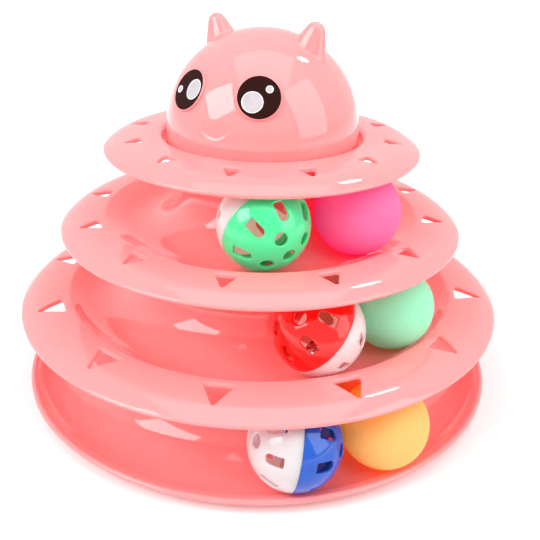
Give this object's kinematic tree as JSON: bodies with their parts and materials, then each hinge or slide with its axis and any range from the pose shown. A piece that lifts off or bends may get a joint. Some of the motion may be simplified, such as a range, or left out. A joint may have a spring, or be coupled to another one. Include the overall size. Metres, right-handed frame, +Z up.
{
  "type": "cat ball track toy",
  "caption": "Tiered round tower whose stacked mouldings leave ball tracks between them, with rattling cage balls, foam balls and a cat's head on top.",
  "frame": {"origin": "centre of the tower where its pads stand on the floor", "axes": "+Z up along the tower, the face looks along -Y, its right-hand side in the picture is +X"},
  "size_m": [0.245, 0.245, 0.1829],
  "materials": {
    "pink_plastic": "glossy coral pink polypropylene",
    "eye_black": "black vinyl sticker",
    "eye_dot": "pale grey print",
    "pad_foam": "matte pale foam rubber",
    "cage_green": "glossy green polyethylene",
    "cage_red": "glossy red polyethylene",
    "cage_blue": "glossy blue polyethylene",
    "cage_white": "glossy white polyethylene",
    "bell_steel": "plated steel",
    "foam_pink": "fine grained EVA foam",
    "foam_mint": "fine grained EVA foam",
    "foam_yellow": "fine grained EVA foam"
  },
  "bodies": {
    "tower": {"base_tray": "pink_plastic", "lower_tier": "pink_plastic", "middle_tier": "pink_plastic", "top_flange": "pink_plastic", "head": "pink_plastic", "right_eye": "eye_black", "right_eye_dots": "eye_dot", "left_eye": "eye_black", "left_eye_dots": "eye_dot", "front_right_pad": "pad_foam", "front_left_pad": "pad_foam", "rear_left_pad": "pad_foam", "rear_right_pad": "pad_foam"},
    "green_bell_unit": {"green_bell": "bell_steel"},
    "green_shell": {"green_half": "cage_green", "green_white_half": "cage_white"},
    "green_pellet_unit": {"green_pellet": "bell_steel"},
    "red_bell_unit": {"red_bell": "bell_steel"},
    "red_shell": {"red_half": "cage_red", "red_white_half": "cage_white"},
    "red_pellet_unit": {"red_pellet": "bell_steel"},
    "blue_bell_unit": {"blue_bell": "bell_steel"},
    "blue_shell": {"blue_half": "cage_blue", "blue_white_half": "cage_white"},
    "blue_pellet_unit": {"blue_pellet": "bell_steel"},
    "pink_foam": {"pink_ball": "foam_pink"},
    "mint_foam": {"mint_ball": "foam_mint"},
    "yellow_foam": {"yellow_ball": "foam_yellow"}
  },
  "joints": [
    {"name": "green_travel", "type": "hinge", "parent": "tower", "child": "green_bell_unit", "pos_m": [0, 0, 0.1051], "axis": [0, 0, 1], "continuous": true},
    {"name": "green_roll", "type": "hinge", "parent": "green_bell_unit", "child": "green_shell", "pos_m": [0.0301, -0.0511, 0.1051], "axis": [0.5075, -0.8616, 0], "continuous": true},
    {"name": "green_pellet_hop", "type": "slide", "parent": "green_bell_unit", "child": "green_pellet_unit", "axis": [0, 0, 1], "range_m": [0, 0.0073]},
    {"name": "red_travel", "type": "hinge", "parent": "tower", "child": "red_bell_unit", "pos_m": [0, 0, 0.0634], "axis": [0, 0, 1], "continuous": true},
    {"name": "red_roll", "type": "hinge", "parent": "red_bell_unit", "child": "red_shell", "pos_m": [0.06008, -0.05372, 0.0634], "axis": [0.7455, -0.6665, 0], "continuous": true},
    {"name": "red_pellet_hop", "type": "slide", "parent": "red_bell_unit", "child": "red_pellet_unit", "axis": [0, 0, 1], "range_m": [0, 0.0073]},
    {"name": "blue_travel", "type": "hinge", "parent": "tower", "child": "blue_bell_unit", "pos_m": [0, 0, 0.0245], "axis": [0, 0, 1], "continuous": true},
    {"name": "blue_roll", "type": "hinge", "parent": "blue_bell_unit", "child": "blue_shell", "pos_m": [0.06555, -0.0833, 0.0245], "axis": [0.6184, -0.7859, 0], "continuous": true},
    {"name": "blue_pellet_hop", "type": "slide", "parent": "blue_bell_unit", "child": "blue_pellet_unit", "axis": [0, 0, 1], "range_m": [0, 0.0073]},
    {"name": "pink_chase", "type": "hinge", "parent": "green_bell_unit", "child": "pink_foam", "pos_m": [0, 0, 0.1046], "axis": [0, 0, 1], "range_deg": [-6, 273.8]},
    {"name": "mint_chase", "type": "hinge", "parent": "red_bell_unit", "child": "mint_foam", "pos_m": [0, 0, 0.0629], "axis": [0, 0, 1], "range_deg": [-1, 300.6]},
    {"name": "yellow_chase", "type": "hinge", "parent": "blue_bell_unit", "child": "yellow_foam", "pos_m": [0, 0, 0.024], "axis": [0, 0, 1], "range_deg": [-0.9, 314.9]}
  ],
  "couplings": [
    {"joint": "green_roll", "follows": "green_travel", "ratio": -2.8927},
    {"joint": "red_roll", "follows": "red_travel", "ratio": -3.9317},
    {"joint": "blue_roll", "follows": "blue_travel", "ratio": -5.1707}
  ]
}
